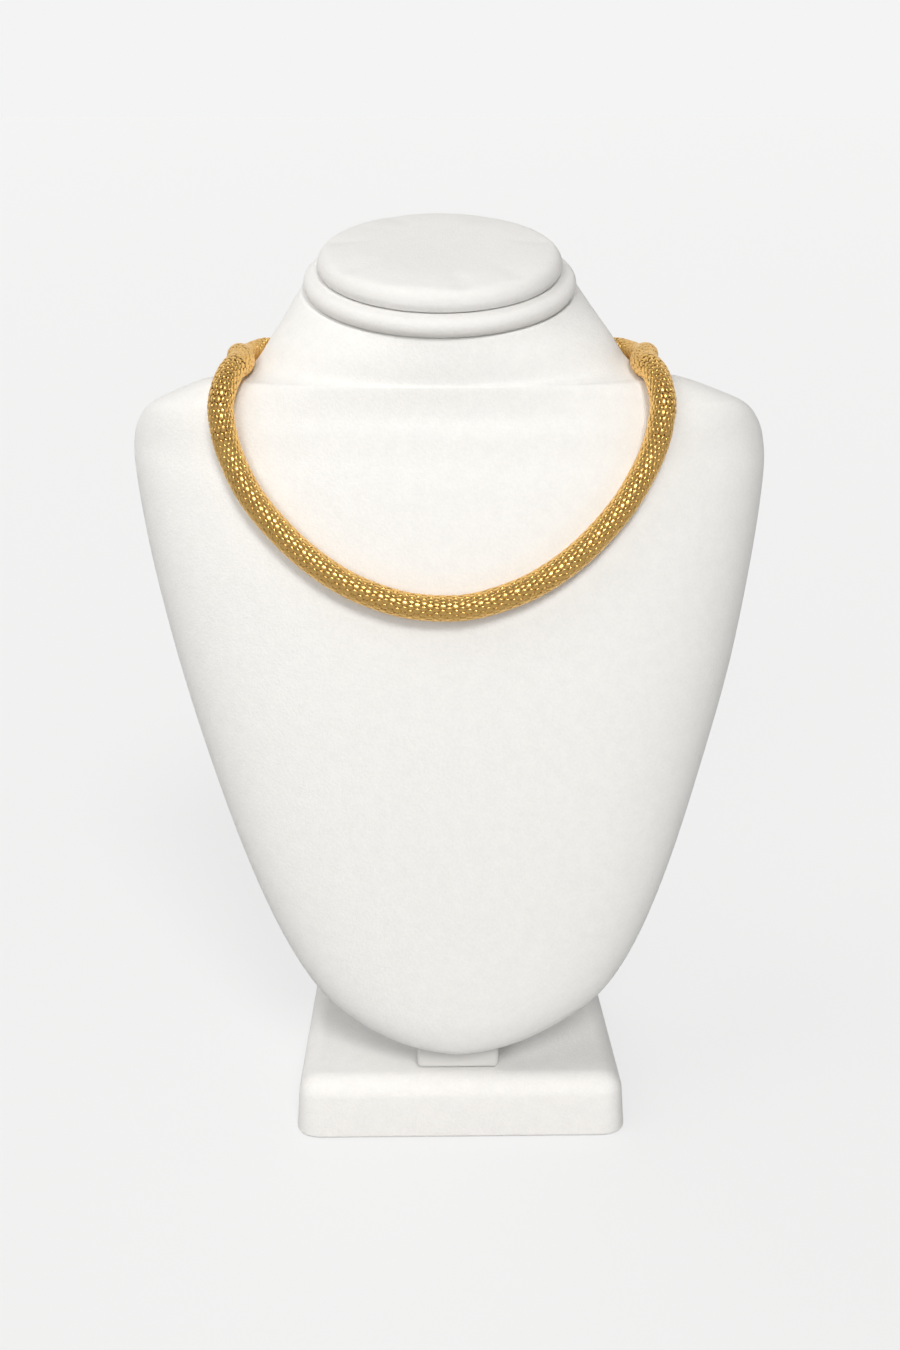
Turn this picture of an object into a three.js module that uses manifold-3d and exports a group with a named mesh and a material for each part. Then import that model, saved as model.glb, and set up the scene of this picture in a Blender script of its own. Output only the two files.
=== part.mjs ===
// Snake chain necklace on a white neck display bust.
// Millimetres, +Z up. The bust faces -Y and its base stands on z = 0.
import * as THREE from "three";
import { LoftGeometry } from "three/addons/geometries/LoftGeometry.js";
import { RoundedBoxGeometry } from "three/addons/geometries/RoundedBoxGeometry.js";
import { mergeVertices } from "three/addons/utils/BufferGeometryUtils.js";
import Module from "manifold-3d";

const wasm = await Module();
wasm.setup();

// Driving dimensions
const clearance = 0.3; // air between pieces that touch

const base = {
  frontWidth: 106.2,
  backWidth: 102,
  depth: 96,
  height: 20,
  lean: 1.4, // how far each side leans in on its way up
  cornerRadius: 9, // in plan
  topRound: 6.5, // where the cover turns over the top edge
  footRound: 1.2, // and under the bottom one
};

const post = {
  width: 26.2,
  aside: -0.9, // of the middle of the base
  depth: 20,
  setback: 8.5, // from the front of the base to the front of the post
  top: 62, // height of its hidden end, inside the bust
  edgeRound: 1.5,
};

// The cap on top of the neck leans forward, so its sizes are in a group tilted by this much.
const cap = {
  tilt: 15, // degrees
  height: 263.5, // of the middle of the neck's top face
  ringRadius: 41.4,
  ringRoll: 2.95, // radius of the roll's round edge
  padRadius: 37.7,
  padThickness: 7.5,
  padRound: 5,
  padTuck: 1, // how much smaller its foot is
};

const chain = { diameter: 7.7, sides: 12, steps: 76 };

const clasp = {
  diameter: 7.9,
  length: 15,
  bevel: 1,
  straight: 2, // of chain, at each end of the clasp
};

// The bust from its tip to the top of the neck, one horizontal section a row. half is half its width
// and aside how far its middle stands to one side, because the neck isn't quite over the tip. front,
// edge and back are depths: of the middle of the chest, of the widest points and of the back. The two
// bends shape the section's corners: 2 is an ellipse and more is squarer. rise lifts the section's
// back over its front, for each millimetre of depth, and fall is how far its back edge then sinks.
const columns = [
  ...["height", "half", "aside", "front", "edge", "back"],
  ...["frontBend", "backBend", "rise", "fall"],
];
const sections = [
  [27.8, 4, -0.8, -43, -38.5, -34, 2, 2, 0, 0],
  [28.8, 10.5, -0.8, -46, -38, -30, 2, 2, 0, 0],
  [32, 22.5, -0.6, -49, -36.5, -25, 2.2, 2.4, 0, 0],
  [39, 35.2, 0, -51, -34.5, -18, 2.5, 3, 0, 0],
  [49, 46.7, 0.6, -52, -32, -12, 2.7, 3.5, 0, 0],
  [66, 57, 0.4, -53, -29, -6, 2.8, 4, 0, 0],
  [90, 66.9, -0.2, -54, -25, 1, 2.8, 4, 0, 0],
  [120, 76.8, -0.9, -54.5, -19.5, 10, 2.7, 4, 0, 0],
  [152, 86.1, -1.4, -53.5, -13, 18, 2.6, 4, 0, 0],
  [184, 93.3, -2.2, -50.5, -6.5, 26, 2.5, 4, 0, 1],
  [208, 97.3, -2.6, -46, -1, 31, 2.4, 3.5, 0, 4],
  [219, 97.6, -3, -43, 1, 32.5, 2.3, 2.9, 0, 6],
  [226, 95, -3.3, -41.5, -3, 31, 2.2, 2.4, 0, 8],
  [230.5, 91, -3.6, -40, -8, 28, 2.1, 2, 0, 9],
  [234, 84.5, -4.1, -39.5, -11, 24, 2.05, 1.7, 0, 10],
  [239, 72, -4.7, -39.2, -14, 20, 2, 1.55, 0, 11],
  [241.1, 61.8, -5, -38.8, -15, 19, 2, 1.5, 0.03, 10],
  [245.9, 55.8, -5.3, -38.6, -12, 22, 2, 1.6, 0.12, 8],
  [254.5, 50.2, -5.4, -38.5, -9, 28, 2, 1.7, 0.2, 5],
  [263.5, 42.6, -5.9, -37.8, 0, 37.8, 2, 2, 0.268, 0],
];
const bustLevels = 50;
const bustSides = 56;
const capSides = 60;

// Where the chain lies on the bust, from the nape over the shoulders to the chest. row says how far up
// the table of sections that point of the surface is, and right and left how far round the section it
// is on either side, in degrees: -90 is the middle of the back and 90 the middle of the chest. lift is
// how far the chain, which is too stiff for a sharp bend, arches off the surface there.
const route = [
  { row: 15.3, right: -90, left: -90, lift: 0.1 },
  { row: 14.99, right: -63.8, left: -64.2, lift: 0.57 },
  { row: 15.69, right: -46.9, left: -46.8, lift: 2.76 },
  { row: 15.76, right: -31.1, left: -29.9, lift: 3.47 },
  { row: 16.28, right: -15.5, left: -15.1, lift: 0.45 },
  { row: 16.44, right: 3.7, left: 3.7, lift: 0.2 },
  { row: 16.23, right: 14.6, left: 12.3, lift: 0 },
  { row: 15.4, right: 28.2, left: 25.8, lift: 0.4 },
  { row: 15.01, right: 33.6, left: 31.6, lift: 0.71 },
  { row: 14.08, right: 44.2, left: 41.3, lift: 2.28 },
  { row: 12.87, right: 50.1, left: 46.4, lift: 2.36 },
  { row: 11.81, right: 54.3, left: 50.2, lift: 1.69 },
  { row: 10.81, right: 58.1, left: 53.4, lift: 0.1 },
  { row: 10.27, right: 61, left: 55.8, lift: 0.1 },
  { row: 9.81, right: 65, left: 59.8, lift: 0.28 },
  { row: 9.343, right: 72, left: 67.2, lift: 0.11 },
  { row: 9, right: 80.3, left: 76, lift: 0.12 },
  { row: 8.816, right: 87.8, left: 84.5, lift: 0 },
  { row: 8.785, right: 90.4, left: 89.6, lift: 0 },
];

const velvet = { roughness: 0.95, metalness: 0 };
const coverWhite = new THREE.MeshStandardMaterial({ color: 0xf3f1ec, ...velvet });
const goldPlate = new THREE.MeshStandardMaterial({ color: 0xd8ac57, roughness: 0.3, metalness: 1 });

// A smooth curve through a list of numbers, read at a place counted in steps of the list. Past its
// ends the list is taken to turn back on itself.
function smooth(list, place) {
  const last = list.length - 1;
  const from = Math.min(Math.floor(place), last - 1);
  const t = place - from;
  const within = (k) => last - Math.abs(last - Math.abs(k));
  const [a, b, c, d] = [-1, 0, 1, 2].map((k) => list[within(from + k)]);
  const bend = 2 * a - 5 * b + 4 * c - d + (3 * (b - c) + d - a) * t;
  return b + 0.5 * t * (c - a + bend * t);
}

function sectionAt(row) {
  const column = (index) => sections.map((section) => section[index]);
  return Object.fromEntries(columns.map((name, index) => [name, smooth(column(index), row)]));
}

// A point of the bust's surface: turn is in radians, and row is a place in the table of sections.
function bustPoint(turn, row) {
  const s = sectionAt(row);
  const side = Math.cos(turn);
  const ahead = Math.sin(turn);
  const bend = ahead > 0 ? s.frontBend : s.backBend;
  const share = Math.abs(ahead) ** (2 / bend);
  const x = s.half * Math.sign(side) * Math.abs(side) ** (2 / bend);
  const y = s.edge + share * ((ahead > 0 ? s.front : s.back) - s.edge);
  const sunk = ahead > 0 ? 0 : s.fall * share ** 2;
  return new THREE.Vector3(s.aside + x, y, s.height + s.rise * y - sunk);
}

// The way out of the bust's surface at such a point.
function bustNormal(turn, row) {
  const step = 0.01;
  const around = bustPoint(turn + step, row).sub(bustPoint(turn - step, row));
  const up = bustPoint(turn, row + step).sub(bustPoint(turn, row - step));
  return up.cross(around).normalize();
}

function named(name, geometry, material) {
  const mesh = new THREE.Mesh(geometry, material);
  mesh.name = name;
  return mesh;
}

// A three.js geometry as a manifold-3d solid, and such a solid as a geometry.
function toSolid(geometry) {
  const bare = new THREE.BufferGeometry();
  bare.setAttribute("position", geometry.getAttribute("position"));
  bare.setIndex(geometry.getIndex());
  const merged = mergeVertices(bare);
  const vertProperties = merged.attributes.position.array;
  const triVerts = new Uint32Array(merged.index.array);
  return new wasm.Manifold(new wasm.Mesh({ numProp: 3, vertProperties, triVerts }));
}

function toGeometry(solid) {
  const mesh = solid.getMesh();
  const geometry = new THREE.BufferGeometry();
  geometry.setAttribute("position", new THREE.BufferAttribute(mesh.vertProperties, 3));
  geometry.setIndex(new THREE.BufferAttribute(mesh.triVerts, 1));
  return geometry;
}

// The base: one plan at several heights, drawn in where the cover turns over an edge.
function basePlan(drawnIn, height) {
  const inset = drawnIn + (base.lean * height) / base.height;
  const front = base.frontWidth / 2 - inset;
  const back = base.backWidth / 2 - inset;
  const deep = base.depth / 2 - inset;
  const r = base.cornerRadius - inset;
  const plan = new THREE.Shape();
  plan.moveTo(front - r, -deep);
  plan.quadraticCurveTo(front, -deep, front, -deep + r);
  plan.lineTo(back, deep - r);
  plan.quadraticCurveTo(back, deep, back - r, deep);
  plan.lineTo(r - back, deep);
  plan.quadraticCurveTo(-back, deep, -back, deep - r);
  plan.lineTo(-front, r - deep);
  plan.quadraticCurveTo(-front, -deep, r - front, -deep);
  return plan.getPoints(5).map((point) => new THREE.Vector3(point.x, point.y, height));
}

function baseBlock() {
  const plans = [];
  for (let step = 0; step <= 3; step++) {
    const angle = (step / 3) * (Math.PI / 2);
    plans.push(basePlan(base.footRound * (1 - Math.sin(angle)), base.footRound * (1 - Math.cos(angle))));
  }
  for (let step = 0; step <= 6; step++) {
    const angle = (step / 6) * (Math.PI / 2);
    const height = base.height - base.topRound * (1 - Math.sin(angle));
    plans.push(basePlan(base.topRound * (1 - Math.cos(angle)), height));
  }
  return new LoftGeometry(plans, { capStart: true, capEnd: true });
}

const postFoot = base.height + clearance;
const postDepth = -base.depth / 2 + post.setback + post.depth / 2;

// grow makes the same block a little larger, as the hole that it stands in.
function standPost(grow = 0) {
  const tall = post.top - postFoot + 2 * grow;
  const wide = post.width + 2 * grow;
  const deep = post.depth + 2 * grow;
  const block = new RoundedBoxGeometry(wide, deep, tall, 2, post.edgeRound);
  return block.translate(post.aside, postDepth, postFoot + tall / 2 - grow);
}

function bustForm() {
  const loops = [];
  for (let level = 0; level <= bustLevels; level++) {
    const row = (level / bustLevels) * (sections.length - 1);
    const loop = [];
    for (let side = 0; side < bustSides; side++) {
      loop.push(bustPoint((-side / bustSides) * 2 * Math.PI, row));
    }
    loops.push(loop);
  }
  const form = toSolid(new LoftGeometry(loops, { capStart: true, capEnd: true }));
  return toGeometry(form.subtract(toSolid(standPost(clearance))));
}

// The round edge of a disc, as points of its lathe profile from one angle up to 90 degrees.
function roundEdge(radius, height, discRadius, fromAngle, steps) {
  const points = [];
  for (let step = 0; step <= steps; step++) {
    const angle = THREE.MathUtils.degToRad(fromAngle + ((90 - fromAngle) * step) / steps);
    const out = discRadius - radius * (1 - Math.cos(angle));
    points.push(new THREE.Vector2(out, height + radius * Math.sin(angle)));
  }
  return points;
}

function turned(profile) {
  return new THREE.LatheGeometry(profile, capSides).rotateX(Math.PI / 2);
}

function neckRing() {
  const r = cap.ringRoll;
  const edge = roundEdge(r, r, cap.ringRadius, -90, 10);
  return turned([new THREE.Vector2(0, 0), ...edge, new THREE.Vector2(0, 2 * r)]);
}

function neckPad() {
  const r = cap.padRound;
  const foot = new THREE.Vector2(cap.padRadius - cap.padTuck, 0);
  const edge = roundEdge(r, cap.padThickness - r, cap.padRadius, 0, 6);
  const top = new THREE.Vector2(0, cap.padThickness);
  return turned([new THREE.Vector2(0, 0), foot, ...edge, top]);
}

// A point on the middle of the chain, at a place counted in stops of the route.
function chainCentre(place, hand) {
  const turn = THREE.MathUtils.degToRad(smooth(route.map((stop) => stop[hand]), place));
  const row = smooth(route.map((stop) => stop.row), place);
  const arch = smooth(route.map((stop) => stop.lift), place);
  const lift = chain.diameter / 2 + clearance + arch;
  const found = bustPoint(turn, row).addScaledVector(bustNormal(turn, row), lift);
  return hand === "left" ? found.setX(2 * sectionAt(row).aside - found.x) : found;
}

// The line along the middle of the chain, from one end of the clasp round the chest to the other.
function chainLine() {
  const last = route.length - 1;
  const right = [];
  const left = [];
  for (let place = 1; place < last; place += 0.5) {
    right.push(chainCentre(place, "right"));
    left.unshift(chainCentre(place, "left"));
  }
  const nape = chainCentre(0, "right");
  const end = clasp.length / 2 + clearance;
  const along = (x) => nape.clone().add(new THREE.Vector3(x, 0, 0));
  const chest = chainCentre(last, "right");
  const straight = end + clasp.straight;
  const start = [along(end), along(straight)];
  const finish = [along(-straight), along(-end)];
  return new THREE.CatmullRomCurve3([...start, ...right, chest, ...left, ...finish]);
}

function chainTube(line) {
  const ring = new THREE.Shape();
  for (let side = 0; side < chain.sides; side++) {
    const angle = (side / chain.sides) * 2 * Math.PI;
    const x = (chain.diameter / 2) * Math.cos(angle);
    const y = (chain.diameter / 2) * Math.sin(angle);
    if (side === 0) ring.moveTo(x, y);
    else ring.lineTo(x, y);
  }
  ring.closePath();
  return new THREE.ExtrudeGeometry(ring, { steps: chain.steps, extrudePath: line });
}

function claspBarrel() {
  const r = clasp.diameter / 2;
  const l = clasp.length / 2;
  const profile = [
    new THREE.Vector2(0, -l),
    new THREE.Vector2(r - clasp.bevel, -l),
    new THREE.Vector2(r, -l + clasp.bevel),
    new THREE.Vector2(r, l - clasp.bevel),
    new THREE.Vector2(r - clasp.bevel, l),
    new THREE.Vector2(0, l),
  ];
  return new THREE.LatheGeometry(profile, 20).rotateZ(Math.PI / 2);
}

const capGroup = new THREE.Group();
capGroup.position.set(sectionAt(sections.length - 1).aside, 0, cap.height);
capGroup.rotation.x = THREE.MathUtils.degToRad(cap.tilt);
const ring = named("neck_ring", neckRing(), coverWhite);
ring.position.z = clearance;
const pad = named("neck_pad", neckPad(), coverWhite);
pad.position.z = 2 * cap.ringRoll + 2 * clearance;
capGroup.add(ring, pad);

const line = chainLine();
const tube = named("chain_tube", chainTube(line), goldPlate);
const barrel = named("clasp", claspBarrel(), goldPlate);
barrel.position.copy(line.getPoint(0)).add(line.getPoint(1)).divideScalar(2);

const model = new THREE.Group();
model.add(
  named("base_block", baseBlock(), coverWhite),
  named("stand_post", standPost(), coverWhite),
  named("bust_form", bustForm(), coverWhite),
  capGroup,
  tube,
  barrel,
);
export default model;
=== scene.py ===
# %% [markdown]
# # A snake chain necklace on a neck display bust
#
# The necklace is a closed loop of gilt mesh chain, a soft tube that is knitted from small domed links.
# It lies on the shoulders and chest of a display bust. The bust, the base and the cap on the neck are
# covered in white velvet. This notebook loads the rigid model, sets up a small photo studio and then
# remakes each piece with its real surface. All lengths in tables are millimetres, and Blender gets
# metres.

# %% Load the rigid model
import math

import bpy
import numpy as np
from mathutils import Matrix, Vector


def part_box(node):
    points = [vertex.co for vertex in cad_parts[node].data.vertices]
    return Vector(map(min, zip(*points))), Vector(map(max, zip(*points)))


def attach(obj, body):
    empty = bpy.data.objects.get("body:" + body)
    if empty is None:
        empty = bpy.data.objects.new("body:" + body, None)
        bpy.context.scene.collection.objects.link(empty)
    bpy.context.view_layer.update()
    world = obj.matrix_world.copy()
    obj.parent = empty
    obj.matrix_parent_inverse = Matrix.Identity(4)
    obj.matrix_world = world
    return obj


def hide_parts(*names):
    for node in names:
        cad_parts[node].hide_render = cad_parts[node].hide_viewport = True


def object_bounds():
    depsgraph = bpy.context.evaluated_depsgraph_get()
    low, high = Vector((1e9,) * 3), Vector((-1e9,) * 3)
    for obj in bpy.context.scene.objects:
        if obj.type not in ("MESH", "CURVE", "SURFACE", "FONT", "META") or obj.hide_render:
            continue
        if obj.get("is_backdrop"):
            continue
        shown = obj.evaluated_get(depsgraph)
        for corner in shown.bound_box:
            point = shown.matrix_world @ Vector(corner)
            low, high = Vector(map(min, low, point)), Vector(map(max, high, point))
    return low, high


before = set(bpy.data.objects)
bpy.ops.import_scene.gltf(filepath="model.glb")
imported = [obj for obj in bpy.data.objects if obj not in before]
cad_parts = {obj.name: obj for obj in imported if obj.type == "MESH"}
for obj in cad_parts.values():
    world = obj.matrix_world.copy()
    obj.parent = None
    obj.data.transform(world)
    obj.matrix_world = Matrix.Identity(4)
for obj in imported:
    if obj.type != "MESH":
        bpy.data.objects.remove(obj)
cad_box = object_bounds()
MM = 0.001
print("nodes of the rigid model:", ", ".join(sorted(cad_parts)))

# %% [markdown]
# ## The camera
#
# The necklace is looked at from a little above, nearly straight from the front. A longer lens from
# further away would flatten the bust, and this one keeps the gentle perspective of a tabletop shot.

# %% Camera
camera_data = bpy.data.cameras.new("camera")
camera_data.sensor_width = 36
camera_data.lens = 49.36
camera_data.clip_start = 0.02
camera_data.clip_end = 300
camera = bpy.data.objects.new("camera", camera_data)
bpy.context.scene.collection.objects.link(camera)

azimuth, elevation, distance = math.radians(-1), math.radians(17), 0.6
aim = Vector((-2.8 * MM, 0, 141 * MM))
away = Vector(
    (
        math.sin(azimuth) * math.cos(elevation),
        -math.cos(azimuth) * math.cos(elevation),
        math.sin(elevation),
    )
)
camera.location = aim + distance * away
camera.rotation_euler = (-away).to_track_quat("-Z", "Y").to_euler()
bpy.context.scene.camera = camera
print("camera stands at", [round(c, 3) for c in camera.location])

# %% [markdown]
# ## Building node trees in words
#
# Materials and Geometry Nodes are both trees of nodes. Wiring them by hand takes many lines, so two
# small classes do it. A Wire is one output of a node, and sums on wires add Math nodes, so that a
# mask can be written as `1 - grain * 0.3`. A Bench holds the tree, and its one method adds any other
# node: its kind, its settings, and what goes into its sockets.

# %% Wires and the bench
class Wire:
    def __init__(self, bench, socket):
        self.bench = bench
        self.socket = socket

    def other(self, name):
        return Wire(self.bench, self.socket.node.outputs[name])

    def __add__(self, term):
        return self.bench.maths("ADD", self, term)

    def __sub__(self, term):
        return self.bench.maths("SUBTRACT", self, term)

    def __rsub__(self, term):
        return self.bench.maths("SUBTRACT", term, self)

    def __mul__(self, term):
        return self.bench.maths("MULTIPLY", self, term)

    def __truediv__(self, term):
        return self.bench.maths("DIVIDE", self, term)

    def __mod__(self, term):
        return self.bench.maths("FLOORED_MODULO", self, term)

    __radd__ = __add__


class Bench:
    def __init__(self, tree):
        self.tree = tree
        tree.nodes.clear()

    def node(self, kind, settings=None, inputs=None, out=0):
        made = self.tree.nodes.new(kind)
        for name, value in (settings or {}).items():
            setattr(made, name, value)
        for name, value in (inputs or {}).items():
            if isinstance(value, Wire):
                self.tree.links.new(value.socket, made.inputs[name])
            else:
                made.inputs[name].default_value = value
        return Wire(self, made.outputs[out]) if made.outputs else None

    def maths(self, operation, *terms):
        inputs = dict(enumerate(terms))
        return self.node("ShaderNodeMath", {"operation": operation}, inputs)

    def vectors(self, operation, *terms, out=0):
        inputs = dict(enumerate(terms))
        return self.node("ShaderNodeVectorMath", {"operation": operation}, inputs, out)

    def blend(self, factor, first, second):
        settings = {"data_type": "RGBA"}
        return self.node("ShaderNodeMix", settings, {0: factor, 6: first, 7: second}, 2)

    def noise(self, where, scale, detail=2, roughness=0.5, out=0):
        inputs = {"Vector": where, "Scale": scale, "Detail": detail, "Roughness": roughness}
        return self.node("ShaderNodeTexNoise", None, inputs, out)


def finish_bench(name):
    material = bpy.data.materials.new(name)
    material.use_nodes = True
    return material, Bench(material.node_tree)


def close_finish(bench, **sockets):
    names = {name.replace("_", " "): value for name, value in sockets.items()}
    shader = bench.node("ShaderNodeBsdfPrincipled", None, names)
    bench.node("ShaderNodeOutputMaterial", None, {"Surface": shader})


# %% [markdown]
# ## The studio
#
# Polished metal shows what stands around it. Jewellery is lit with large soft lights in an otherwise
# darker room, so that each link carries one bright spot with a dark edge, while its flanks pick up
# the white bust. The world is that room, and it is set three ways. A look straight at it shows the
# off-white backdrop. Cloth is lit by a dim room with a pale wall behind the bust and to its left.
# Metal reflects a nearly black front and a bright back wall, which gives the links their contrast.
# Softboxes could be glowing planes, but a wide sun lights every part alike and leaves less noise.

# %% Room
room = bpy.data.worlds.new("room")
room.use_nodes = True
bpy.context.scene.world = room
walls = Bench(room.node_tree)
backdrop = 0.904
direction = walls.node("ShaderNodeTexCoord", out="Generated")
toward_front = walls.vectors("DOT_PRODUCT", direction, (0.02, -0.956, 0.292), out="Value")
leftward = walls.node("ShaderNodeSeparateXYZ", None, {"Vector": direction}, "X") * -1


def ramp_up(value, low, high):
    limits = {"Value": value, "From Min": low, "From Max": high, "To Min": 0, "To Max": 1}
    return walls.node("ShaderNodeMapRange", {"interpolation_type": "SMOOTHSTEP"}, limits)


behind = 1 - ramp_up(toward_front, -0.15, 0.25)
light_path = walls.node("ShaderNodeLightPath", out="Is Camera Ray")
for_cloth = 0.05 + behind * (0.15 + ramp_up(leftward, 0, 0.6) * 1.0)
for_metal = 0.03 + behind * 0.8
around = for_cloth + (for_metal - for_cloth) * light_path.other("Is Glossy Ray")
level = light_path * backdrop + (1 - light_path) * around
tint = walls.blend(level, (0, 0, 0, 1), (1, 1, 1, 1))
glow = walls.node("ShaderNodeBackground", None, {"Color": tint, "Strength": 1})
walls.node("ShaderNodeOutputWorld", None, {"Surface": glow})


# %% Softboxes
def softbox(name, toward, strength, spread, colour=(1, 1, 1), seen_in_metal=False):
    light = bpy.data.lights.new(name, "SUN")
    light.energy = strength
    light.angle = math.radians(spread)
    light.color = colour
    lamp = bpy.data.objects.new(name, light)
    lamp.rotation_euler = Vector(toward).to_track_quat("Z", "Y").to_euler()
    lamp.visible_glossy = seen_in_metal
    bpy.context.scene.collection.objects.link(lamp)


softbox("key_softbox", (0.11, -0.78, 0.616), 1.25, 16, (1, 0.985, 0.96), seen_in_metal=True)
softbox("key_for_cloth", (0.11, -0.78, 0.616), 0.5, 16, (1, 0.985, 0.96))
softbox("front_softbox", (-0.25, -0.9, 0.25), 1.05, 30, (1, 0.985, 0.96))
softbox("top_softbox", (-0.5, -0.3, 0.82), 0.75, 40, (1, 0.975, 0.94))
softbox("right_softbox", (0.85, -0.5, 0.15), 0.35, 40)
bpy.context.scene.view_settings.view_transform = "Standard"

# %% [markdown]
# The key stands in front and above. It is the only lamp that shows as a spot on the links, and it
# throws the chain's shadow on the chest. The front, top and right lamps only fill the cloth, so
# they are kept out of reflections. The floor is white paper that glows a little, so the backdrop
# and the floor meet without a line. It glows less for the bust than for the eye, or else it would
# light the bust from below.

# %% Floor
def patch_of_floor(half_width):
    corners = [(-1, -1), (1, -1), (1, 1), (-1, 1)]
    mesh = bpy.data.meshes.new("floor")
    mesh.from_pydata([(half_width * x, half_width * y, 0) for x, y in corners], [], [(0, 1, 2, 3)])
    return bpy.data.objects.new("floor", mesh)


floor = patch_of_floor(90)
paper, paper_bench = finish_bench("floor_paper")
seen = paper_bench.node("ShaderNodeLightPath", out="Is Camera Ray")
close_finish(
    paper_bench,
    Base_Color=(0.2, 0.2, 0.2, 1),
    Roughness=0.95,
    Emission_Color=paper_bench.blend(seen, (0.14, 0.14, 0.14, 1), (0.69, 0.69, 0.69, 1)),
    Emission_Strength=1,
)
floor.data.materials.append(paper)
bpy.context.scene.collection.objects.link(floor)
floor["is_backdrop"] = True

# %% [markdown]
# ## Velvet
#
# The covering is a short white pile, closer to suede than to deep velvet. Close up it isn't one
# white: the pile lies this way and that, so it looks faintly mottled, with a fine grain of fibres on
# top. Light that grazes it is caught by the fibre ends, which is what sheen does in the shader. All
# patterns are read in the object's own coordinates, so they stay at their real size.

# %% Velvet finish
def velvet_finish(name, colour, mottle=0.05, nap=0.35):
    material, bench = finish_bench(name)
    where = bench.node("ShaderNodeTexCoord", out="Object")
    patches = bench.noise(where, 260, 3)
    grain = bench.noise(where, 1100, 2, 0.7)
    fibres = bench.noise(where, 3000, 2, 0.8)
    shade = patches * 0.4 + grain * 0.6
    worn = tuple(part * (1 - mottle) for part in colour)
    steep = bench.node(
        "ShaderNodeMapRange", None, {"Value": shade, "From Min": 0.35, "From Max": 0.65}
    )
    tone = bench.blend(steep, (*worn, 1), (*colour, 1))
    height = grain * 0.7 + fibres * nap
    bump = bench.node("ShaderNodeBump", None, {"Height": height, "Strength": 0.4, "Distance": 0.0006})
    close_finish(
        bench,
        Base_Color=tone,
        Roughness=0.85 + grain * 0.12,
        Normal=bump,
        Sheen_Weight=0.25,
        Sheen_Roughness=0.45,
        Specular_IOR_Level=0.2,
    )
    return material


bust_velvet = velvet_finish("bust_velvet", (0.87, 0.866, 0.852))
base_velvet = velvet_finish("base_velvet", (0.84, 0.832, 0.818))
cap_velvet = velvet_finish("cap_velvet", (0.84, 0.835, 0.822), mottle=0.035)

# %% [markdown]
# ## Gilt metal
#
# The chain is plated in a warm yellow gold. Metal has no colour of its own apart from its
# reflections, so the finish is mostly a tint and a roughness. The plating is brighter on the crown of
# each link and browner down in the gaps. Part of that is real: the crown rubs on skin and cloth, and
# polish and dust stay in the gaps. Part of it is painted shade, which darkens the gaps between the
# links where shade falls. Each link carries its height as an attribute named crown, which drives
# that change.

# %% Gold finish
# deep is the colour down in the gaps: painted shade together with polish and dust. bright is the crown.
def gold_finish(name, bright, deep, roughness):
    material, bench = finish_bench(name)
    where = bench.node("ShaderNodeTexCoord", out="Object")
    crown = bench.node("ShaderNodeAttribute", {"attribute_name": "crown"}, out="Fac")
    cloud = bench.noise(where, 300, 3)
    pits = bench.noise(where, 2600, 2)
    # Painted shade as well as wear: low on the link, down in the gaps, the colour goes to the deep brown.
    gap_shade_and_rub = bench.node(
        "ShaderNodeMapRange", None, {"Value": crown + cloud * 0.2, "From Min": 0.1, "From Max": 0.6}
    )
    tone = bench.blend(gap_shade_and_rub, (*deep, 1), (*bright, 1))
    bump = bench.node("ShaderNodeBump", None, {"Height": pits, "Strength": 0.08, "Distance": 0.0001})
    close_finish(
        bench,
        Base_Color=tone,
        Metallic=0.84,
        Roughness=roughness + pits * 0.12,
        Normal=bump,
    )
    return material


link_gold = gold_finish("link_gold", (1, 0.63, 0.2), (0.52, 0.24, 0.05), 0.25)
# The core's dark brown is painted shade: a darker copy of the gold for the shade deep between the links.
core_painted_shade = gold_finish("core_painted_shade", (0.16, 0.085, 0.03), (0.09, 0.045, 0.015), 0.5)
print("finishes:", ", ".join(material.name for material in bpy.data.materials))

# %% [markdown]
# ## Meshes from loops of points
#
# The bust, the base and the cap are all skins over a stack of closed outlines, one above the other.
# One helper joins neighbouring outlines with four-sided faces and closes both ends with a fan to a
# middle point, so that every skin is watertight and its faces point outwards.

# %% Skin over outlines
def skin(name, outlines, material):
    outlines = np.asarray(outlines, dtype=float)
    levels, sides, _ = outlines.shape
    points = list(map(tuple, outlines.reshape(-1, 3) * MM))
    bottom, top = len(points), len(points) + 1
    points += [tuple(outlines[0].mean(0) * MM), tuple(outlines[-1].mean(0) * MM)]
    faces = []
    for level in range(levels - 1):
        for side in range(sides):
            this, after = level * sides + side, level * sides + (side + 1) % sides
            faces.append((this, after, after + sides, this + sides))
    last = (levels - 1) * sides
    for side in range(sides):
        after = (side + 1) % sides
        faces.append((bottom, after, side))
        faces.append((top, last + side, last + after))
    mesh = bpy.data.meshes.new(name)
    mesh.from_pydata(points, [], faces)
    mesh.polygons.foreach_set("use_smooth", [True] * len(mesh.polygons))
    mesh.materials.append(material)
    mesh.update()
    piece = bpy.data.objects.new(name, mesh)
    bpy.context.scene.collection.objects.link(piece)
    return piece


def settle(piece, slot, *nodes):
    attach(piece, "root")
    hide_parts(*nodes)
    triangles = sum(len(face.vertices) - 2 for face in piece.data.polygons)
    print(f"{piece.name}: {triangles} triangles, stands for {', '.join(nodes)}")


# %% [markdown]
# ## The bust's surface
#
# The bust is carved foam or wood: an egg-shaped chest that tapers to a tip, with sloping shoulders
# and a neck that leans back. Its form is given by a few horizontal sections, each an oval with
# squarer or rounder corners, and a smooth curve runs through every column of the table. The chain
# lies on this same surface, so its route can be worked out from it.

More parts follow.
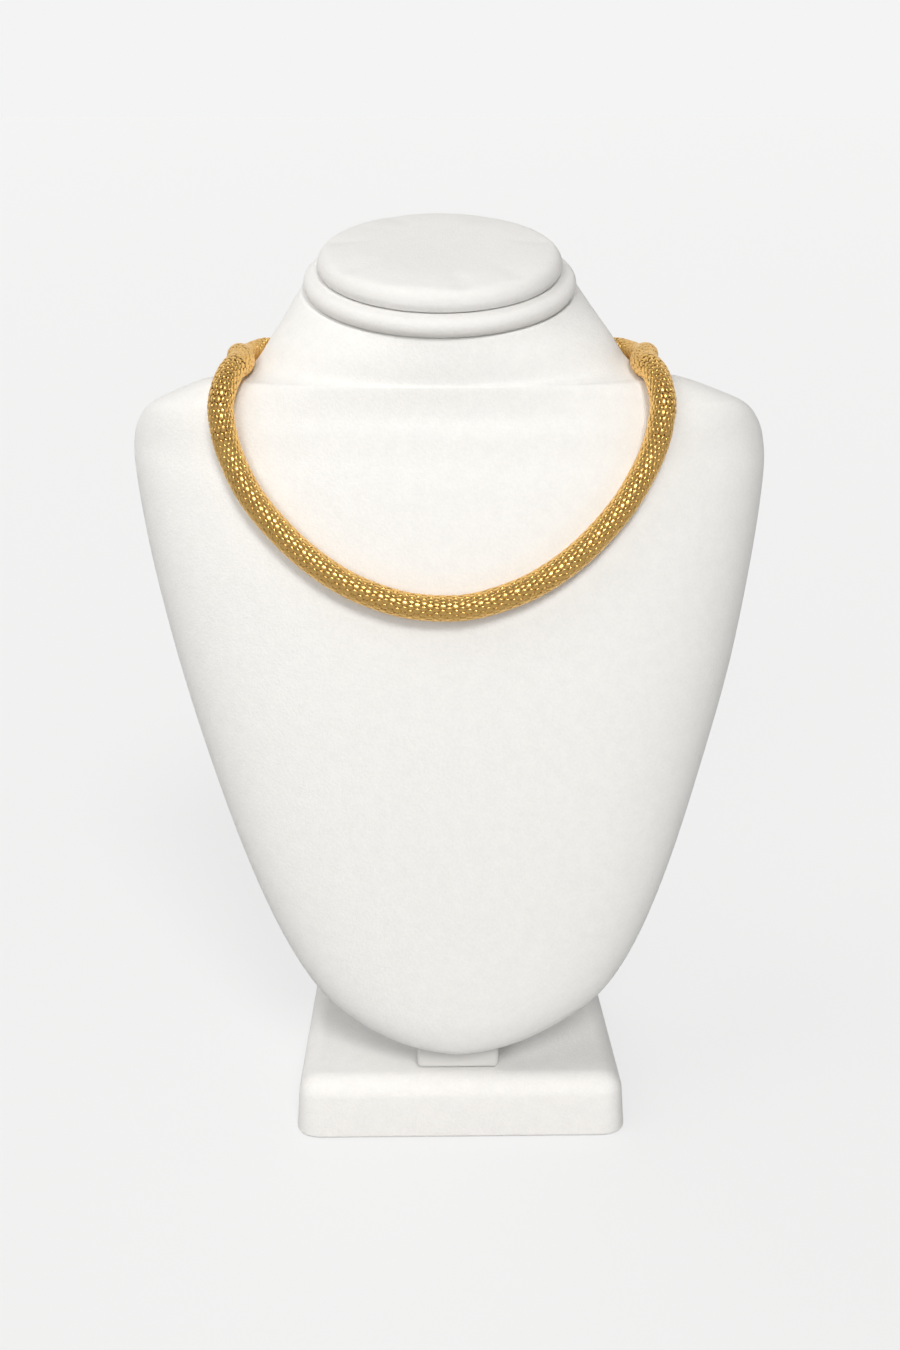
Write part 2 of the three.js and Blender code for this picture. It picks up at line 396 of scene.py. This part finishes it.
# %% Table of sections
columns = "height half aside front edge back front_bend back_bend rise fall".split()
sections = [
    (27.8, 4, -0.8, -43, -38.5, -34, 2, 2, 0, 0),
    (28.8, 10.5, -0.8, -46, -38, -30, 2, 2, 0, 0),
    (32, 22.5, -0.6, -49, -36.5, -25, 2.2, 2.4, 0, 0),
    (39, 35.2, 0, -51, -34.5, -18, 2.5, 3, 0, 0),
    (49, 46.7, 0.6, -52, -32, -12, 2.7, 3.5, 0, 0),
    (66, 57, 0.4, -53, -29, -6, 2.8, 4, 0, 0),
    (90, 66.9, -0.2, -54, -25, 1, 2.8, 4, 0, 0),
    (120, 76.8, -0.9, -54.5, -19.5, 10, 2.7, 4, 0, 0),
    (152, 86.1, -1.4, -53.5, -13, 18, 2.6, 4, 0, 0),
    (184, 93.3, -2.2, -50.5, -6.5, 26, 2.5, 4, 0, 1),
    (208, 97.3, -2.6, -46, -1, 31, 2.4, 3.5, 0, 4),
    (219, 97.6, -3, -43, 1, 32.5, 2.3, 2.9, 0, 6),
    (226, 95, -3.3, -41.5, -3, 31, 2.2, 2.4, 0, 8),
    (230.5, 91, -3.6, -40, -8, 28, 2.1, 2, 0, 9),
    (234, 84.5, -4.1, -39.5, -11, 24, 2.05, 1.7, 0, 10),
    (239, 72, -4.7, -39.2, -14, 20, 2, 1.55, 0, 11),
    (241.1, 61.8, -5, -38.8, -15, 19, 2, 1.5, 0.03, 10),
    (245.9, 55.8, -5.3, -38.6, -12, 22, 2, 1.6, 0.12, 8),
    (254.5, 50.2, -5.4, -38.5, -9, 28, 2, 1.7, 0.2, 5),
    (263.5, 42.6, -5.9, -37.8, 0, 37.8, 2, 2, 0.268, 0),
]
last_row = len(sections) - 1


def smooth(numbers, place):
    last = len(numbers) - 1
    start = min(math.floor(place), last - 1)
    t = place - start
    a, b, c, d = (numbers[last - abs(last - abs(start + k))] for k in (-1, 0, 1, 2))
    bend = 2 * a - 5 * b + 4 * c - d + (3 * (b - c) + d - a) * t
    return b + 0.5 * t * (c - a + bend * t)


def section_at(row):
    return {name: smooth(values, row) for name, values in zip(columns, zip(*sections))}


def bust_point(turn, row, section=None):
    s = section or section_at(row)
    side, ahead = math.cos(turn), math.sin(turn)
    bend = s["front_bend"] if ahead > 0 else s["back_bend"]
    share = abs(ahead) ** (2 / bend)
    x = s["aside"] + s["half"] * math.copysign(abs(side) ** (2 / bend), side)
    y = s["edge"] + share * ((s["front"] if ahead > 0 else s["back"]) - s["edge"])
    sunk = 0 if ahead > 0 else s["fall"] * share**2
    return np.array((x, y, s["height"] + s["rise"] * y - sunk))


def bust_normal(turn, row):
    step = 0.01
    across = bust_point(turn + step, row) - bust_point(turn - step, row)
    upward = bust_point(turn, row + step) - bust_point(turn, row - step)
    out = np.cross(upward, across)
    return out / np.linalg.norm(out)


# %% Bust
def bust_outlines(levels, sides):
    outlines = []
    for level in range(levels + 1):
        row = last_row * level / levels
        section = section_at(row)
        turns = (2 * math.pi * side / sides for side in range(sides))
        outlines.append([bust_point(turn, row, section) for turn in turns])
    return outlines


bust = skin("bust", bust_outlines(180, 220), bust_velvet)

# %% [markdown]
# ## The hole for the post
#
# The post doesn't stop at the bust's underside: it goes up into it, and that holds the bust. The hole
# is the post's own block, taken a hair larger and subtracted from the bust. A Boolean modifier works
# that out exactly, and its result is then kept as a plain mesh.

# %% Hollow out the bust
def brick(name, low, high, material=None):
    corners = [(x, y, z) for x in (low.x, high.x) for y in (low.y, high.y) for z in (low.z, high.z)]
    sides = [(0, 1, 3, 2), (4, 6, 7, 5), (0, 4, 5, 1), (2, 3, 7, 6), (0, 2, 6, 4), (1, 5, 7, 3)]
    mesh = bpy.data.meshes.new(name)
    mesh.from_pydata(corners, [], sides)
    if material:
        mesh.materials.append(material)
    block = bpy.data.objects.new(name, mesh)
    bpy.context.scene.collection.objects.link(block)
    return block


def subtract(piece, tool):
    cut = piece.modifiers.new("hole", "BOOLEAN")
    cut.operation, cut.solver, cut.object = "DIFFERENCE", "EXACT", tool
    view = bpy.context.evaluated_depsgraph_get()
    mesh = bpy.data.meshes.new_from_object(piece.evaluated_get(view), depsgraph=view)
    piece.modifiers.remove(cut)
    piece.data = mesh
    bpy.data.objects.remove(tool)


post_low, post_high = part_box("stand_post")
fit = Vector((0.3, 0.3, 0.3)) * MM
faces_before = len(bust.data.polygons)
subtract(bust, brick("post_hole", post_low - fit, post_high + fit))
print("faces of the bust before and after the hole:", faces_before, len(bust.data.polygons))
settle(bust, "bust_cover", "bust_form")

# %% [markdown]
# ## The cap on the neck
#
# The neck ends in a flat disc with a rolled edge, and a thinner padded disc lies on it. Both are
# turned shapes that lean forward with the neck's top. The disc is stiff, so a turned profile is all
# it needs. The pad is foam under stretched velvet: its top swells a little and its edge is full. That
# is what a short cloth simulation with some air pressure gives, with the foot held fast.

# %% Turned discs
cap = {"tilt": 15, "height": 263.5, "aside": -5.9, "roll": 2.95, "ring_radius": 41.4}
pad = {"radius": 37.7, "thickness": 7.5, "round": 5, "tuck": 1, "gap": 0.3}


def round_edge(radius, height, disc_radius, from_angle, steps):
    for step in range(steps + 1):
        angle = math.radians(from_angle + (90 - from_angle) * step / steps)
        yield disc_radius - radius * (1 - math.cos(angle)), height + radius * math.sin(angle)


def turned(profile, lift, sides=144):
    lean = Matrix.Rotation(math.radians(cap["tilt"]), 3, "X")
    outlines = []
    for radius, height in profile:
        turns = (2 * math.pi * side / sides for side in range(sides))
        outlines.append(
            [
                lean @ Vector((radius * math.cos(turn), radius * math.sin(turn), height + lift))
                + Vector((cap["aside"], 0, cap["height"]))
                for turn in turns
            ]
        )
    return outlines


roll = cap["roll"]
ring_profile = [(r, 0) for r in (6, 20, 34)]
ring_profile += list(round_edge(roll, roll, cap["ring_radius"], -90, 20))
ring_profile += [(r, 2 * roll) for r in (34, 20, 6)]
ring = skin("neck_disc", turned(ring_profile, pad["gap"]), cap_velvet)
settle(ring, "cap_cover", "neck_ring")

# %% Pad before it is stuffed
lift = 2 * roll + 2 * pad["gap"]
slack = 0.5
foot = pad["radius"] - pad["tuck"] - slack
pad_top, pad_rim = pad["thickness"] - slack, pad["radius"] - slack
pad_profile = [(r, 0) for r in (4, 12, 20, 28, 34)] + [(foot, 0), (foot + 0.3, 0.9)]
pad_profile += list(round_edge(pad["round"], pad_top - pad["round"], pad_rim, 0, 8))
pad_profile += [(r, pad_top) for r in (30, 27, 24, 21, 18, 15, 12, 9, 6, 3)]
pad_sides = 96
stuffed = skin("neck_cushion", turned(pad_profile, lift, pad_sides), cap_velvet)
slack_shape = [point.co.copy() for point in stuffed.data.vertices]


# %% Stuff the pad
def stuff(piece, held, most, frames=20):
    group = piece.vertex_groups.new(name="held")
    group.add(held, 1, "REPLACE")
    cloth = piece.modifiers.new("stuffing", "CLOTH")
    cloth.settings.quality = 6
    cloth.settings.tension_stiffness = 40
    cloth.settings.bending_stiffness = 3
    cloth.settings.use_pressure = True
    cloth.settings.uniform_pressure_force = 4
    cloth.settings.effector_weights.gravity = 0
    cloth.settings.vertex_group_mass = "held"
    cloth.point_cache.frame_end = frames
    for number in range(1, frames + 1):
        bpy.context.scene.frame_set(number)
    view = bpy.context.evaluated_depsgraph_get()
    swollen = [point.co.copy() for point in piece.evaluated_get(view).data.vertices]
    piece.modifiers.remove(cloth)
    piece.vertex_groups.clear()
    bpy.context.scene.frame_set(1)
    furthest = 0
    for point, start, end in zip(piece.data.vertices, slack_shape, swollen):
        move = end - start
        furthest = max(furthest, move.length)
        if move.length > most:
            move *= most / move.length
        point.co = start + move
    return furthest


held_levels = 7
held_points = range(held_levels * pad_sides)
middle_of_foot = len(slack_shape) - 2
furthest = stuff(stuffed, [*held_points, middle_of_foot], 0.7 * MM)
print(f"the pad swelled by {furthest / MM:.2f} mm before the cap")
fuller = stuffed.modifiers.new("fuller", "SUBSURF")
fuller.levels = fuller.render_levels = 1
settle(stuffed, "cap_cover", "neck_pad")

# %% [markdown]
# ## The base and its post
#
# The base is a block under velvet, wider at the front, whose top edge is so soft that it reads as a
# slope. The same plan is drawn again at several heights and pulled in where the cover turns over an
# edge. The post between base and bust is a smooth painted block, so it gets crisp but eased edges.

# %% Base
base = {"front": 106.2, "back": 102, "depth": 96, "height": 20, "lean": 1.4}
base.update(corner=9, top_round=6.5, foot_round=1.2)


def bent_corner(start, corner, end, steps=12):
    for step in range(steps + 1):
        t = step / steps
        yield [(1 - t) ** 2 * s + 2 * t * (1 - t) * c + t * t * e for s, c, e in zip(start, corner, end)]


def base_plan(drawn_in, height, per_side=10):
    inset = drawn_in + base["lean"] * height / base["height"]
    front, back = base["front"] / 2 - inset, base["back"] / 2 - inset
    deep, r = base["depth"] / 2 - inset, base["corner"] - inset
    corners = [(front, -deep), (back, deep), (-back, deep), (-front, -deep)]
    starts = [(front - r, -deep), (back, deep - r), (r - back, deep), (-front, r - deep)]
    ends = [(front, r - deep), (back - r, deep), (-back, deep - r), (r - front, -deep)]
    plan = []
    for place in range(4):
        plan += list(bent_corner(starts[place], corners[place], ends[place]))
        from_, to = ends[place], starts[(place + 1) % 4]
        for step in range(1, per_side):
            t = step / per_side
            plan.append([f + (e - f) * t for f, e in zip(from_, to)])
    return [(x, y, height) for x, y in plan]


def base_outlines():
    foot, top = base["foot_round"], base["top_round"]
    for step in range(7):
        angle = math.pi / 2 * step / 6
        yield base_plan(foot * (1 - math.sin(angle)), foot * (1 - math.cos(angle)))
    for step in range(15):
        angle = math.pi / 2 * step / 14
        yield base_plan(top * (1 - math.cos(angle)), base["height"] - top * (1 - math.sin(angle)))


block = skin("base", list(base_outlines()), base_velvet)
settle(block, "base_cover", "base_block")

# %% Post finish
def painted_finish(name, colour):
    material, bench = finish_bench(name)
    where = bench.node("ShaderNodeTexCoord", out="Object")
    cloud = bench.noise(where, 90, 3)
    orange_peel = bench.noise(where, 900, 2)
    scuffed = tuple(part * 0.93 for part in colour)
    tone = bench.blend(cloud, (*scuffed, 1), (*colour, 1))
    bump = bench.node(
        "ShaderNodeBump", None, {"Height": orange_peel, "Strength": 0.1, "Distance": 0.0002}
    )
    close_finish(bench, Base_Color=tone, Roughness=0.42 + cloud * 0.15, Normal=bump)
    return material


# The post's mid grey is painted shade: the post is off-white like the base, and this darker colour stands
# for the shadow under the bust tip.
post_paint = painted_finish("post_paint", (0.66, 0.655, 0.64))

# %% Post
post = brick("post", post_low, post_high, post_paint)
eased = post.modifiers.new("eased", "BEVEL")
eased.width, eased.segments, eased.limit_method = 1.5 * MM, 5, "NONE"
post.data.polygons.foreach_set("use_smooth", [True] * len(post.data.polygons))
settle(post, "post_white", "stand_post")

# %% [markdown]
# ## The line of the chain
#
# The necklace runs from the clasp at the nape over both shoulders and down to the chest. Each stop
# of the route says how far up the bust and how far round it the chain lies on either side. The
# middle of the chain stands off the surface by half its thickness, as it does when it rests there.

# %% Route
chain = {"diameter": 7.7, "clearance": 0.3}
clasp = {"diameter": 7.9, "length": 15, "bevel": 1, "straight": 2}
route = [
    {"row": 15.3, "right": -90, "left": -90, "lift": 0.1},
    {"row": 14.99, "right": -63.8, "left": -64.2, "lift": 0.57},
    {"row": 15.69, "right": -46.9, "left": -46.8, "lift": 2.76},
    {"row": 15.76, "right": -31.1, "left": -29.9, "lift": 3.47},
    {"row": 16.28, "right": -15.5, "left": -15.1, "lift": 0.45},
    {"row": 16.44, "right": 3.7, "left": 3.7, "lift": 0.2},
    {"row": 16.23, "right": 14.6, "left": 12.3, "lift": 0},
    {"row": 15.4, "right": 28.2, "left": 25.8, "lift": 0.4},
    {"row": 15.01, "right": 33.6, "left": 31.6, "lift": 0.71},
    {"row": 14.08, "right": 44.2, "left": 41.3, "lift": 2.28},
    {"row": 12.87, "right": 50.1, "left": 46.4, "lift": 2.36},
    {"row": 11.81, "right": 54.3, "left": 50.2, "lift": 1.69},
    {"row": 10.81, "right": 58.1, "left": 53.4, "lift": 0.1},
    {"row": 10.27, "right": 61, "left": 55.8, "lift": 0.1},
    {"row": 9.81, "right": 65, "left": 59.8, "lift": 0.28},
    {"row": 9.343, "right": 72, "left": 67.2, "lift": 0.11},
    {"row": 9, "right": 80.3, "left": 76, "lift": 0.12},
    {"row": 8.816, "right": 87.8, "left": 84.5, "lift": 0},
    {"row": 8.785, "right": 90.4, "left": 89.6, "lift": 0},
]


def chain_centre(place, hand):
    turn = math.radians(smooth([stop[hand] for stop in route], place))
    row = smooth([stop["row"] for stop in route], place)
    arch = smooth([stop["lift"] for stop in route], place)
    lift = chain["diameter"] / 2 + chain["clearance"] + arch
    found = bust_point(turn, row) + lift * bust_normal(turn, row)
    if hand == "left":
        found[0] = 2 * section_at(row)["aside"] - found[0]
    return found


def chain_stops():
    last = len(route) - 1
    places = [1 + step / 2 for step in range(2 * (last - 1))]
    right = [chain_centre(place, "right") for place in places]
    left = [chain_centre(place, "left") for place in reversed(places)]
    nape = chain_centre(0, "right")
    end = clasp["length"] / 2 + chain["clearance"]
    straight = end + clasp["straight"]
    start = [nape + (x, 0, 0) for x in (end, straight)]
    finish = [nape + (-x, 0, 0) for x in (straight, end)]
    return [*start, *right, chain_centre(last, "right"), *left, *finish]


# %% Rail for the chain
def smooth_line(stops, steps=6):
    line = []
    count = len(stops)
    ghost_start, ghost_end = 2 * stops[0] - stops[1], 2 * stops[-1] - stops[-2]
    padded_stops = [ghost_start, *stops, ghost_end]
    for number in range(count - 1):
        p = padded_stops[number : number + 4]
        knots = [0]  # centripetal spacing, which keeps the curve free of loops
        for before, after in zip(p, p[1:]):
            knots.append(knots[-1] + math.sqrt(np.linalg.norm(after - before)))
        t0, t1, t2, t3 = knots
        for step in range(steps):
            t = t1 + (t2 - t1) * step / steps
            a = [
                p[k] * (knots[k + 1] - t) / (knots[k + 1] - knots[k])
                + p[k + 1] * (t - knots[k]) / (knots[k + 1] - knots[k])
                for k in range(3)
            ]
            b = [
                a[k] * (knots[k + 2] - t) / (knots[k + 2] - knots[k])
                + a[k + 1] * (t - knots[k]) / (knots[k + 2] - knots[k])
                for k in range(2)
            ]
            line.append(b[0] * (t2 - t) / (t2 - t1) + b[1] * (t - t1) / (t2 - t1))
    line.append(stops[-1])
    return line


rail_points = smooth_line(chain_stops())
length = sum(float(np.linalg.norm(b - a)) for a, b in zip(rail_points, rail_points[1:]))
print(f"the chain is {length:.1f} mm long")
rail_curve = bpy.data.curves.new("chain_rail", "CURVE")
rail_curve.dimensions = "3D"
spline = rail_curve.splines.new("POLY")
spline.points.add(len(rail_points) - 1)
for point, place in zip(spline.points, rail_points):
    point.co = (*(place * MM), 1)
rail = bpy.data.objects.new("chain_rail", rail_curve)
bpy.context.scene.collection.objects.link(rail)

# %% [markdown]
# ## The links
#
# A mesh chain has rings of small domed links, and each ring is turned by half a link against the one
# before, so that the domes interlock like scales. Thousands of equal parts along a path are work for
# Geometry Nodes. One link is half an oval ball. A cloud of points gets one point for each link, and
# its number says which ring it belongs to and where round the ring it sits. The rail gives the
# middle of the ring and the way the chain runs there. Between the domes an inner tube shows. Its dark
# brown is painted shade: a darker copy of the gold that stands for the shade in the gaps.

# %% One tree for the whole chain
def add_inputs(tree, sizes):
    names = {}
    tree.interface.new_socket("Geometry", in_out="INPUT", socket_type="NodeSocketGeometry")
    for name, kind in sizes.items():
        socket = tree.interface.new_socket(name, in_out="INPUT", socket_type=kind)
        names[name] = socket.identifier
    tree.interface.new_socket("Geometry", in_out="OUTPUT", socket_type="NodeSocketGeometry")
    return names


chain_tree = bpy.data.node_groups.new("snake_chain", "GeometryNodeTree")
sizes = {"Rings": "NodeSocketInt", "Links a ring": "NodeSocketInt", "Seed": "NodeSocketInt"}
sizes.update({"Seat radius": "NodeSocketFloat", "Core radius": "NodeSocketFloat"})
sizes.update({"Drawn out": "NodeSocketFloat", "Link size": "NodeSocketVector"})
sizes.update({"Link finish": "NodeSocketMaterial", "Core finish": "NodeSocketMaterial"})
chain_inputs = add_inputs(chain_tree, sizes)
bench = Bench(chain_tree)
given = bench.node("NodeGroupInput", out="Geometry")

# %% Half an oval ball
ball = bench.node("GeometryNodeMeshUVSphere", None, {"Segments": 10, "Rings": 6, "Radius": 1})
place = bench.node("GeometryNodeInputPosition")
height = bench.node("ShaderNodeSeparateXYZ", None, {"Vector": place}, "Z")
below = bench.node("FunctionNodeCompare", {"operation": "LESS_THAN"}, {0: height, 1: -0.01})
dome = bench.node("GeometryNodeDeleteGeometry", {"domain": "POINT"}, {"Geometry": ball, "Selection": below})
crowned = bench.node(
    "GeometryNodeStoreNamedAttribute",
    {"data_type": "FLOAT", "domain": "POINT"},
    {"Geometry": dome, "Name": "crown", "Value": height},
)
fuller = bench.node("ShaderNodeCombineXYZ", None, {"Z": height * (1 - height) * 0.75})
flat_topped = bench.node("GeometryNodeSetPosition", None, {"Geometry": crowned, "Offset": fuller})
one_link = bench.node(
    "GeometryNodeTransform", None, {"Geometry": flat_topped, "Scale": given.other("Link size")}
)

# %% A point for every link
rings, around = given.other("Rings"), given.other("Links a ring")
cloud = bench.node("GeometryNodePoints", None, {"Count": rings * around})
number = bench.node("GeometryNodeInputIndex")
ring_number = bench.maths("FLOOR", (number + 0.5) / around)
in_ring = number - ring_number * around
even = (ring_number + 0.5) / rings
drawn_out = given.other("Drawn out")
along = even - bench.maths("SINE", even * (2 * math.pi)) * drawn_out / (2 * math.pi)
stretch = 1 - bench.maths("COSINE", even * (2 * math.pi)) * drawn_out
turn = (in_ring + (ring_number % 2) * 0.5) / around * (2 * math.pi)
on_rail = bench.node(
    "GeometryNodeSampleCurve", {"mode": "FACTOR"}, {"Curves": given, "Factor": along}, "Position"
)
forward, normal = on_rail.other("Tangent"), on_rail.other("Normal")
sideways = bench.vectors("CROSS_PRODUCT", forward, normal)
outward = bench.vectors(
    "ADD",
    bench.node(
        "ShaderNodeVectorMath", {"operation": "SCALE"}, {0: normal, "Scale": bench.maths("COSINE", turn)}
    ),
    bench.node(
        "ShaderNodeVectorMath", {"operation": "SCALE"}, {0: sideways, "Scale": bench.maths("SINE", turn)}
    ),
)
seat = bench.node(
    "ShaderNodeVectorMath", {"operation": "SCALE"}, {0: outward, "Scale": given.other("Seat radius")}
)
facing = bench.node(
    "FunctionNodeAxesToRotation",
    {"primary_axis": "Z", "secondary_axis": "X"},
    {"Primary Axis": outward, "Secondary Axis": forward},
)
seated = bench.node(
    "GeometryNodeSetPosition", None, {"Geometry": cloud, "Position": bench.vectors("ADD", on_rail, seat)}
)

# %% Links on the points and the tube inside
nudge = bench.node(
    "FunctionNodeRandomValue",
    {"data_type": "FLOAT_VECTOR"},
    {"Min": (-0.07, -0.07, -0.12), "Max": (0.07, 0.07, 0.12), "Seed": given.other("Seed")},
)
tilted = bench.node(
    "FunctionNodeRotateRotation", {"rotation_space": "LOCAL"}, {"Rotation": facing, "Rotate By": nudge}
)
longer = bench.node("ShaderNodeCombineXYZ", None, {"X": stretch, "Y": 1, "Z": 1})
links = bench.node(
    "GeometryNodeInstanceOnPoints",
    None,
    {"Points": seated, "Instance": one_link, "Rotation": tilted, "Scale": longer},
)
real_links = bench.node("GeometryNodeRealizeInstances", None, {"Geometry": links})
gilt = bench.node(
    "GeometryNodeSetMaterial", None, {"Geometry": real_links, "Material": given.other("Link finish")}
)
inner_rail = bench.node("GeometryNodeResampleCurve", None, {"Curve": given, "Count": rings})
around_core = {"Resolution": 16, "Radius": given.other("Core radius")}
hoop = bench.node("GeometryNodeCurvePrimitiveCircle", None, around_core)
swept = {"Curve": inner_rail, "Profile Curve": hoop, "Fill Caps": True}
tube = bench.node("GeometryNodeCurveToMesh", None, swept)
# Painted shade: the inner tube gets the dark brown copy of the gold.
dark = bench.node(
    "GeometryNodeSetMaterial", None, {"Geometry": tube, "Material": given.other("Core finish")}
)
joined = bench.node("GeometryNodeJoinGeometry", None, {"Geometry": dark})
chain_tree.links.new(gilt.socket, joined.socket.node.inputs["Geometry"])
soft = bench.node("GeometryNodeSetShadeSmooth", None, {"Geometry": joined})
bench.node("NodeGroupOutput", None, {"Geometry": soft})

# %% Make the chain
def drop_empty_slots(mesh):
    finishes = [finish for finish in mesh.materials if finish]
    new_number = np.array([finishes.index(f) if f else 0 for f in mesh.materials], dtype=np.int32)
    number = np.zeros(len(mesh.polygons), dtype=np.int32)
    mesh.polygons.foreach_get("material_index", number)
    mesh.materials.clear()
    for finish in finishes:
        mesh.materials.append(finish)
    mesh.polygons.foreach_set("material_index", new_number[number])
    print("faces of each finish:", dict(zip([f.name for f in finishes], np.bincount(new_number[number]))))


def made_by(tree, inputs, source, values, name):
    modifier = source.modifiers.new("maker", "NODES")
    modifier.node_group = tree
    for label, value in values.items():
        modifier[inputs[label]] = value
    view = bpy.context.evaluated_depsgraph_get()
    view.update()
    mesh = bpy.data.meshes.new_from_object(source.evaluated_get(view), depsgraph=view)
    mesh.name = name
    source.modifiers.remove(modifier)
    drop_empty_slots(mesh)
    piece = bpy.data.objects.new(name, mesh)
    bpy.context.scene.collection.objects.link(piece)
    return piece


link = {"length": 2.2, "width": 1.86, "height": 0.4, "bedded": 0.08}
seat_radius = chain["diameter"] / 2 - link["height"]
values = {
    "Rings": 265,
    "Links a ring": 13,
    "Drawn out": 0.25,
    "Seed": 7,
    "Seat radius": seat_radius * MM,
    "Core radius": (seat_radius + link["bedded"]) * MM,
    "Link size": (link["length"] / 2 * MM, link["width"] / 2 * MM, link["height"] * MM),
    "Link finish": link_gold,
    "Core finish": core_painted_shade,
}
snake_chain = made_by(chain_tree, chain_inputs, rail, values, "snake_chain")
bpy.data.objects.remove(rail)
settle(snake_chain, "chain_gold", "chain_tube")

# %% [markdown]
# ## The clasp
#
# The clasp closes the loop at the nape, out of sight. It is one plain polished barrel, a little
# thicker than the chain, with both of its rims eased.

# %% Clasp
def barrel_outlines(middle, sides=64):
    r, l, bevel = clasp["diameter"] / 2, clasp["length"] / 2, clasp["bevel"]
    profile = [(-l, 1.2), (-l, r - bevel)]
    for step in range(1, 6):
        angle = math.pi / 2 * step / 6
        profile.append((-l + bevel * (1 - math.cos(angle)), r - bevel * (1 - math.sin(angle))))
    profile += [(x, r) for x in (-l + bevel, -l / 2, 0)]
    profile += [(-x, radius) for x, radius in reversed(profile[:-1])]
    for x, radius in profile:
        turns = (2 * math.pi * side / sides for side in range(sides))
        yield [middle + (x, radius * math.cos(t), radius * math.sin(t)) for t in turns]


clasp_middle = (rail_points[0] + rail_points[-1]) / 2
clasp_gold = gold_finish("clasp_gold", (0.95, 0.68, 0.28), (0.8, 0.54, 0.2), 0.2)
barrel = skin("clasp_barrel", list(barrel_outlines(clasp_middle)), clasp_gold)
settle(barrel, "clasp_gold", "clasp")

# %% [markdown]
# ## Last look
#
# The dressed model must keep the size of the rigid one, so both boxes are written down side by side.

# %% Finish
visual_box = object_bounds()
boxes = {"cad": cad_box, "visual": visual_box}
{name: [list(corner) for corner in box] for name, box in boxes.items()}
for name, (low, high) in {"cad": cad_box, "visual": visual_box}.items():
    print(name, "size in mm:", [round((b - a) / MM, 1) for a, b in zip(low, high)])
